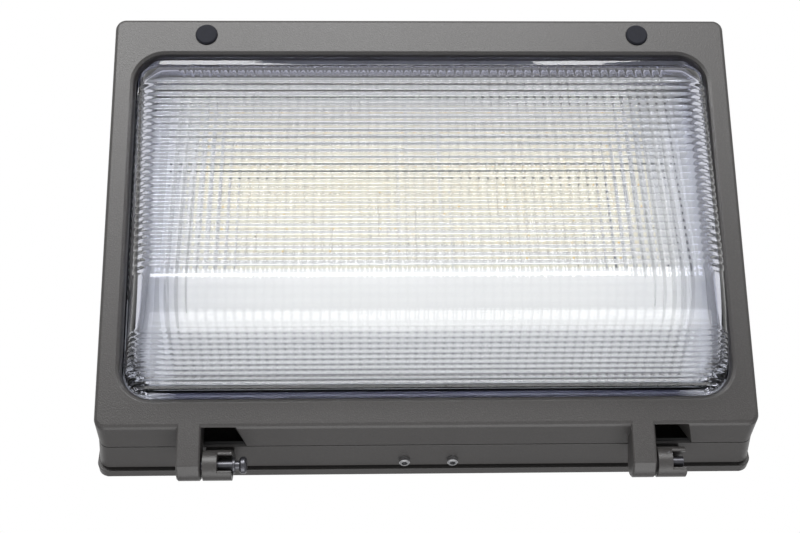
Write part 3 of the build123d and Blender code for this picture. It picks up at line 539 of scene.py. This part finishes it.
def glass_tint_and_painted_light(start):
    """Painted shade and reflection on the glass by its place, from its lip up to its head."""
    place = start.node("ShaderNodeTexCoord", output="Object")
    x, y, z = [
        start.node("ShaderNodeSeparateXYZ", {0: place}, output=axis) for axis in range(3)
    ]
    v = (z - BODY_FOOT_Z) * cos(DOOR_SLOPE) - (y - DOOR_FOOT_Y) * sin(DOOR_SLOPE)
    w = (y - DOOR_FOOT_Y) * -cos(DOOR_SLOPE) - (z - BODY_FOOT_Z) * sin(DOOR_SLOPE)

    flute = wave(x, FLUTE_PITCH, "COSINE")
    rib = wave(v - FACE_WALL[0].x, RIB_PITCH)
    cell = rib.above(*CELL_STEP) * (0.45 + flute.above(*CELL_STEP) * 0.55)
    # The painted shade fades out up the face.
    rise = v.above(RISE_START, RISE_WIDTH)
    nose = v.above(NOSE_START, STEP_WIDTH) - v.above(FACE_WALL[0].x, STEP_WIDTH)
    face = (nose * 0.85).mix(cell.mix(rise.mix(*GROOVE_SHADES), rise.mix(*CROWNS)), NOSE)

    foot_low, foot_high = FOOT_WALL[0].x, FOOT_WALL[1].x
    height = v.above((foot_low + foot_high) / 2, foot_high - foot_low)
    ridge = wave(w, FOOT_PITCH).above(*RIDGE_STEP)
    dots = start.maths("ADD", ridge, flute * height * 0.7, clamp=True)
    foot = dots.mix(height.mix(*FOOT_GROOVE_SHADES), FOOT_CROWN)
    foot = v.above(LIP_START, STEP_WIDTH).mix(LIP, foot)

    side = (start.maths("ABSOLUTE", x) + w * tan(GLASS_DRAFT)).above(EDGE_START, EDGE_WIDTH)
    # Painted shade of the foot and the face, then the painted blue-grey reflection of the sides
    # and the head.
    tint_and_painted_light = v.above(foot_high, FOOT_TOP_WIDTH).mix(foot, face)
    return v.above(HEAD_START, HEAD_WIDTH).mix(side.mix(tint_and_painted_light, SIDES), HEAD)


print("rib pitch", round(RIB_PITCH / MM, 2), "mm, flute pitch", round(FLUTE_PITCH / MM, 2), "mm")

# %% [markdown]
# Real glass bends light, so its finish is a transmission shader with the index of soda glass. A
# path tracer can't find a lamp through it, so for shadow rays the glass is only a grey filter:
# light then falls on the reflector behind it, much as it does through real glass.

# %% Glass
SHADOW_FILTER = (0.58, 0.58, 0.575, 1.0)


def prismatic_glass():
    """Refracting glass coloured with painted shade and reflection, that shadow rays pass as a
    filter.
    """
    material, shader, start = finish(
        "prismatic_glass", Roughness=0.03, IOR=1.5, Transmission_Weight=1.0
    )
    # Its base colour carries the painted shade and painted reflection of the masks above.
    link(glass_tint_and_painted_light(start), shader, "Base Color")
    tree = start.tree
    ray = start.node("ShaderNodeLightPath", output="Is Shadow Ray")
    filtered = start.node("ShaderNodeBsdfTransparent", {"Color": SHADOW_FILTER})
    solid = Field(tree, shader.outputs[0])
    both = start.node("ShaderNodeMixShader", {0: ray, 1: solid, 2: filtered})
    tree.links.new(both.socket, tree.nodes["Material Output"].inputs["Surface"])
    return material


lens.data.materials.append(prismatic_glass())
print("glass on the lens")

# %% [markdown]
# ## Plain finishes
# The other parts carry simple paints, plastics and metals, each with a little grain, so that no
# surface is perfectly even.

# %% Plain finishes
FINE_DEPTH = 0.00005   # in metres


def plain(name, low, high, grain=400.0, rough=0.5, edge=0.0, **constants):
    """A finish between two tones, with a fine grain of so many specks to the metre."""
    material, shader, start = finish(name, **constants)
    place = start.node("ShaderNodeTexCoord", output="Object")
    speck = noise(start, place, grain, 3.0)
    link(speck.mix(low, high), shader, "Base Color")
    link(rough + speck * 0.15, shader, "Roughness")
    bump(speck, shader, FINE_DEPTH, 0.5, edge)
    return material


rubber = plain("rubber", rgb(22, 22, 23), rgb(34, 34, 35))
dress(rubber, "wall_gasket", "wire_grommet", "door_gasket")
plug = plain(
    "plug", rgb(32, 33, 38), rgb(44, 45, 52), rough=0.7, edge=0.0004, Specular_IOR_Level=0.2
)
dress(plug, "screw_plugs")
pin_steel = plain(
    "pin_steel", rgb(66, 66, 70), rgb(92, 92, 97), rough=0.26, edge=0.0003, Metallic=0.8
)
dress(pin_steel, "release_pin", "fixed_hinge_pin")
bright = plain("bright_steel", rgb(170, 170, 172), rgb(205, 205, 207), rough=0.18, Metallic=1.0)
dress(bright, "set_screws")
zinc = plain("zinc", rgb(165, 168, 172), rgb(200, 202, 206), rough=0.3, Metallic=1.0)
dress(zinc, "wall_plate", "lens_clips", "door_screws")
dress(plain("silicone", rgb(190, 192, 194), rgb(210, 212, 214)), "lens_gasket")
enamel = plain("white_enamel", rgb(217, 219, 221), rgb(226, 228, 229), rough=0.3)
dress(enamel, "reflector_pan")
tray = plain("tray_metal", rgb(196, 199, 203), rgb(212, 214, 217), rough=0.35)
dress(tray, "led_tray")
dress(plain("board", rgb(224, 221, 202), rgb(234, 231, 214), rough=0.3), "led_boards")
dress(plain("driver_case", rgb(206, 208, 210), rgb(226, 228, 230), rough=0.35), "driver")
dress(plain("terminal", rgb(214, 212, 204), rgb(226, 224, 216)), "terminal_block")
green = plain("ground_green", rgb(30, 104, 56), rgb(40, 124, 68))
dress(green, "ground_lead")
dress(plain("red_lead", rgb(150, 26, 24), rgb(176, 34, 30)), "board_lead_red")
black_lead = plain("black_lead", rgb(24, 24, 25), rgb(36, 36, 37))
dress(black_lead, "board_lead_black", "line_lead")
dress(plain("white_lead", rgb(216, 216, 214), rgb(230, 230, 228)), "neutral_lead")
print("materials so far:", len(bpy.data.materials))

# %% [markdown]
# ## Small fasteners
# In the solids a small screw is a plain stud. Here one real pan-head screw is made: a cylinder
# whose upper rim is beveled into a low dome, a cross recess cut by two crossing blades, and a
# shank with a chamfered tip. It stands on its seat at the origin. One is made in the size of each
# kind, and copied to every seat of that kind.

# %% One pan-head screw
HEAD_RATIO, HEAD_HEIGHT, HEAD_SIDES, SHANK_SIDES = 1.9, 1.8 * MM, 24, 12
BLADE_RATIO, BLADE_WIDTH, RECESS_DEPTH = 1.15, 0.7 * MM, 1.2 * MM
HEAD_BEVEL, TIP_CHAMFER, INTO_HEAD = 0.8 * MM, 0.4 * MM, 0.2 * MM


def edges_at(piece, height):
    """Selects the edges of a piece that lie in one level plane."""
    bpy.ops.object.mode_set(mode="EDIT")
    bpy.ops.mesh.select_mode(type="EDGE")
    bpy.ops.mesh.select_all(action="DESELECT")
    bpy.ops.object.mode_set(mode="OBJECT")
    places = piece.data.vertices
    for edge in piece.data.edges:
        edge.select = all(abs(places[i].co.z - height) < TOUCH for i in edge.vertices)
    bpy.ops.object.mode_set(mode="EDIT")


def cylinder(radius, low, high, sides):
    """An upright cylinder between two heights, its place kept in the mesh."""
    start_clean()
    bpy.ops.mesh.primitive_cylinder_add(
        vertices=sides, radius=radius, depth=high - low, location=(0, 0, (low + high) / 2)
    )
    bpy.ops.object.transform_apply(location=True)
    return bpy.context.object


def blade(turn, radius):
    """One of the two blades that cut the cross recess of a head."""
    start_clean()
    bpy.ops.mesh.primitive_cube_add(
        size=1.0, location=(0, 0, HEAD_HEIGHT), rotation=(0, 0, turn),
        scale=(radius * BLADE_RATIO, BLADE_WIDTH, 2 * RECESS_DEPTH),
    )
    bpy.ops.object.transform_apply(location=True, rotation=True, scale=True)
    return bpy.context.object


def pan_screw(shank, length):
    """A pan-head screw whose head stands on the plane z = 0."""
    radius = HEAD_RATIO * shank
    head = cylinder(radius, 0.0, HEAD_HEIGHT, HEAD_SIDES)
    edges_at(head, HEAD_HEIGHT)
    bpy.ops.mesh.bevel(offset=HEAD_BEVEL, segments=3, affect="EDGES")
    bpy.ops.object.mode_set(mode="OBJECT")
    for turn in (0.0, pi / 2):
        cutter = blade(turn, radius)
        start_clean()
        bpy.context.view_layer.objects.active = head
        head.select_set(True)
        bpy.ops.object.modifier_add(type="BOOLEAN")
        head.modifiers[-1].object = cutter
        head.modifiers[-1].operation = "DIFFERENCE"
        bpy.ops.object.modifier_apply(modifier=head.modifiers[-1].name)
        bpy.data.objects.remove(cutter)
    body = cylinder(shank, -length, INTO_HEAD, SHANK_SIDES)
    edges_at(body, -length)
    bpy.ops.mesh.bevel(offset=TIP_CHAMFER, segments=1, affect="EDGES")
    bpy.ops.object.mode_set(mode="OBJECT")
    return join([head, body], "screw")


trial = pan_screw(1.6 * MM, 8.0 * MM)
print("faces in one screw:", len(trial.data.polygons))
bpy.data.objects.remove(trial)

# %% [markdown]
# A seat is a matrix: its first two columns lie in the plane of the seat and its third is the way
# that the head points. The door's own plane leans, and the clips are screwed on from behind.

# %% Put a screw on every seat
SCREW_TURN = 0.7   # radians from one cross recess to the next, as no two screws stop alike
SCREW_SMOOTH = radians(35.0)


def seat_matrix(place, turned=False, on_wall=False):
    """The matrix of a seat along the door's plane, or along the upright back wall."""
    origin = Vector(place) if on_wall else to_world(place)
    across = Vector((1.0, 0.0, 0.0))
    up = Vector((0.0, 0.0, 1.0))
    if not on_wall:
        up = Vector((0.0, -sin(DOOR_SLOPE), cos(DOOR_SLOPE)))
    if turned:
        up = -up
    out = across.cross(up)
    return Matrix((
        (across.x, up.x, out.x, origin.x),
        (across.y, up.y, out.y, origin.y),
        (across.z, up.z, out.z, origin.z),
        (0.0, 0.0, 0.0, 1.0),
    ))


def set_out(piece, seats, name, turn_each=0.0):
    """Copies a piece to every seat and joins the copies."""
    copies = []
    for index, seat in enumerate(seats):
        start_clean()
        piece.select_set(True)
        bpy.context.view_layer.objects.active = piece
        bpy.ops.object.duplicate()
        copy = bpy.context.object
        copy.data.transform(seat @ Matrix.Rotation(turn_each * index, 4, "Z"))
        copies.append(copy)
    bpy.data.objects.remove(piece)
    return join(copies, name)


def screws(node, name, shank, length, seats, material=zinc, body="housing"):
    """Replaces a node of plain studs by real screws; shank and length are in millimetres."""
    piece = set_out(pan_screw(shank * MM, length * MM), seats, name, turn_each=SCREW_TURN)
    start_clean()
    bpy.context.view_layer.objects.active = piece
    piece.select_set(True)
    bpy.ops.object.shade_smooth_by_angle(angle=SCREW_SMOOTH)
    piece.data.materials.clear()
    piece.data.materials.append(material)
    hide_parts(node)
    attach(piece, body)
    print(name, len(seats), "screws,", len(piece.data.polygons), "faces")


def door_seats(places, w, turned=False):
    """Seats in a plane w of the door, for places in millimetres."""
    return [seat_matrix((x * MM, v * MM, w * MM), turned) for x, v in places]


def wall_seats(places):
    """Seats that face out from the upright back wall, for places in millimetres."""
    return [seat_matrix((x * MM, y * MM, z * MM), on_wall=True) for x, y, z in places]


print("the door faces", [round(part, 2) for part in seat_matrix((0, 0, 0)).col[2][:3]])

# %% [markdown]
# Places are in millimetres. Those of the clips, pan, tray and boards are across and up the door's
# face, with one height for each kind. Those of the driver, terminal block and earth wire are in
# the frame of the whole light.

# %% The screws' places
CLIP_SEAT_W, PAN_SEAT_W, TRAY_SEAT_W, BOARD_SEAT_W = -12.4, -21.0, -42.0, -40.4
CLIP_PLACES = [(x, v) for x in (-84.0, -28.0, 28.0, 84.0) for v in (2.9, 226.0)]
PAN_PLACES = [(x, v) for x in (-158.0, 158.0) for v in (30.0, 188.0)]
TRAY_PLACES = [(x, v) for x in (-128.0, 128.0) for v in (121.0, 179.0)]
BOARD_PLACES = [(-118.4, 150.0), (-13.2, 144.0), (13.2, 144.0), (118.4, 150.0)]
DRIVER_PLACES = [(-80.5, -16.5, 50.0), (80.5, -16.5, 50.0), (-103.0, -18.0, 74.0)]
EARTH_PLACES = [(-92.0, -15.0, 2.0)]

clip_seats = door_seats(CLIP_PLACES, CLIP_SEAT_W, turned=True)
screws("clip_screws", "glass_clip_screws", 1.45, 4.2, clip_seats, body="door")
screws("pan_screws", "reflector_screws", 1.6, 8.0, door_seats(PAN_PLACES, PAN_SEAT_W))
screws("tray_screws", "led_tray_screws", 1.6, 8.0, door_seats(TRAY_PLACES, TRAY_SEAT_W))
screws("board_screws", "led_board_screws", 1.4, 4.5, door_seats(BOARD_PLACES, BOARD_SEAT_W))
screws("component_screws", "driver_screws", 1.6, 4.0, wall_seats(DRIVER_PLACES))
earth_seats = wall_seats(EARTH_PLACES)
screws("ground_screw", "earth_screw", 1.6, 2.5, earth_seats, green)

# %% [markdown]
# ## LED emitters
# Each emitter is a small white package with a square well of yellow phosphor. One is made from a
# cube by two insets of its top face, the second of which also sinks, and then it is set out over
# both boards.

# %% LED emitters
CHIP, CHIP_HEIGHT = 3.4 * MM, 0.9 * MM
CHIP_COLUMNS, CHIP_ROWS = 9, 5
CHIP_PITCH_X, CHIP_PITCH_V, CHIP_MIDDLE = 13.2, 12.0, 150.0
WELL_RIM, WELL_SLOPE, WELL_DEPTH = 0.35 * MM, 0.12 * MM, 0.25 * MM


def led_package():
    """One emitter on the plane z = 0: a white package with a sunk square of phosphor."""
    start_clean()
    bpy.ops.mesh.primitive_cube_add(
        size=1.0, location=(0, 0, CHIP_HEIGHT / 2), scale=(CHIP, CHIP, CHIP_HEIGHT)
    )
    bpy.ops.object.transform_apply(location=True, scale=True)
    package = bpy.context.object
    bpy.ops.object.mode_set(mode="EDIT")
    bpy.ops.mesh.select_mode(type="FACE")
    bpy.ops.mesh.select_all(action="DESELECT")
    bpy.ops.object.mode_set(mode="OBJECT")
    for face in package.data.polygons:
        face.select = face.normal.z > 0.9
    bpy.ops.object.mode_set(mode="EDIT")
    bpy.ops.mesh.inset(thickness=WELL_RIM)
    bpy.ops.mesh.inset(thickness=WELL_SLOPE, depth=-WELL_DEPTH)
    bpy.ops.object.mode_set(mode="OBJECT")
    package.data.materials.append(ceramic)
    package.data.materials.append(phosphor)
    for face in package.data.polygons:
        face.material_index = int(face.select)
    return package


phosphor = plain("phosphor", rgb(238, 184, 26), rgb(250, 204, 56), rough=0.3)
ceramic = plain("led_ceramic", rgb(222, 222, 218), rgb(236, 236, 232), rough=0.35)
places = []
for side in (-1, 1):
    for column in range(CHIP_COLUMNS):
        for row in range(CHIP_ROWS):
            v = CHIP_MIDDLE + CHIP_PITCH_V * (row - (CHIP_ROWS - 1) / 2)
            places.append((side * CHIP_PITCH_X * (column + 0.5), v))
packages = set_out(led_package(), door_seats(places, BOARD_SEAT_W), "led_packages")
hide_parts("led_chips")
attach(packages, "housing")
print(len(places), "emitters,", len(packages.data.polygons), "faces")

# %% [markdown]
# ## Light
# The world is white where the camera, a reflection or the glass looks at it, and a soft grey fill
# for everything else. A ray that has already bounced off a matt surface sees only the soft fill,
# so the white never lights the reflector. A wide lamp in front gives the top of the door its
# paler tone, and a dim one below shapes the foot.

# %% World and lamps
FILL = 0.35
KEY = {"place": (-0.2, -2.0, 0.42), "aim": (0, 0, 0), "size": (1.7, 0.6), "watts": 41.0}
UNDER = {"place": (0.1, 0.1, -1.2), "aim": (0.1, 0.1, 0), "size": (1.2, 0.8), "watts": 9.0}


def white_world(fill):
    """White for rays that see the background, and a soft fill of this strength as light."""
    world = bpy.data.worlds.new("studio")
    bpy.context.scene.world = world
    world.use_nodes = True
    tree = world.node_tree
    start = Field(tree)
    camera_ray, glossy, through, bounces = [
        start.node("ShaderNodeLightPath", output=name)
        for name in ("Is Camera Ray", "Is Glossy Ray", "Is Transmission Ray", "Diffuse Depth")
    ]
    seen = start.maths("MAXIMUM", start.maths("MAXIMUM", camera_ray, glossy), through)
    seen = seen * start.maths("SUBTRACT", 1.0, bounces, clamp=True)
    white = start.node("ShaderNodeBackground", {"Color": (1, 1, 1, 1), "Strength": 1.0})
    soft = start.node("ShaderNodeBackground", {"Color": (0.97, 0.98, 1.0, 1), "Strength": fill})
    both = start.node("ShaderNodeMixShader", {0: seen, 1: soft, 2: white})
    tree.links.new(both.socket, tree.nodes["World Output"].inputs["Surface"])


def softbox(name, place, aim, size, watts):
    """A flat rectangular lamp at a place, turned to its aim."""
    data = bpy.data.lights.new(name, "AREA")
    data.shape = "RECTANGLE"
    data.size, data.size_y = size
    data.energy = watts
    lamp = bpy.data.objects.new(name, data)
    lamp.location = place
    lamp.rotation_euler = (Vector(aim) - Vector(place)).to_track_quat("-Z", "Y").to_euler()
    bpy.context.scene.collection.objects.link(lamp)


white_world(FILL)
softbox("key", **KEY)
softbox("under", **UNDER)
bpy.context.scene.view_settings.view_transform = "Standard"

# %% The floor's finish
floor_paint = plain("floor_paint", rgb(246, 246, 247), rgb(252, 252, 252), grain=30.0)
floor.data.materials.append(floor_paint)
print("floor painted")
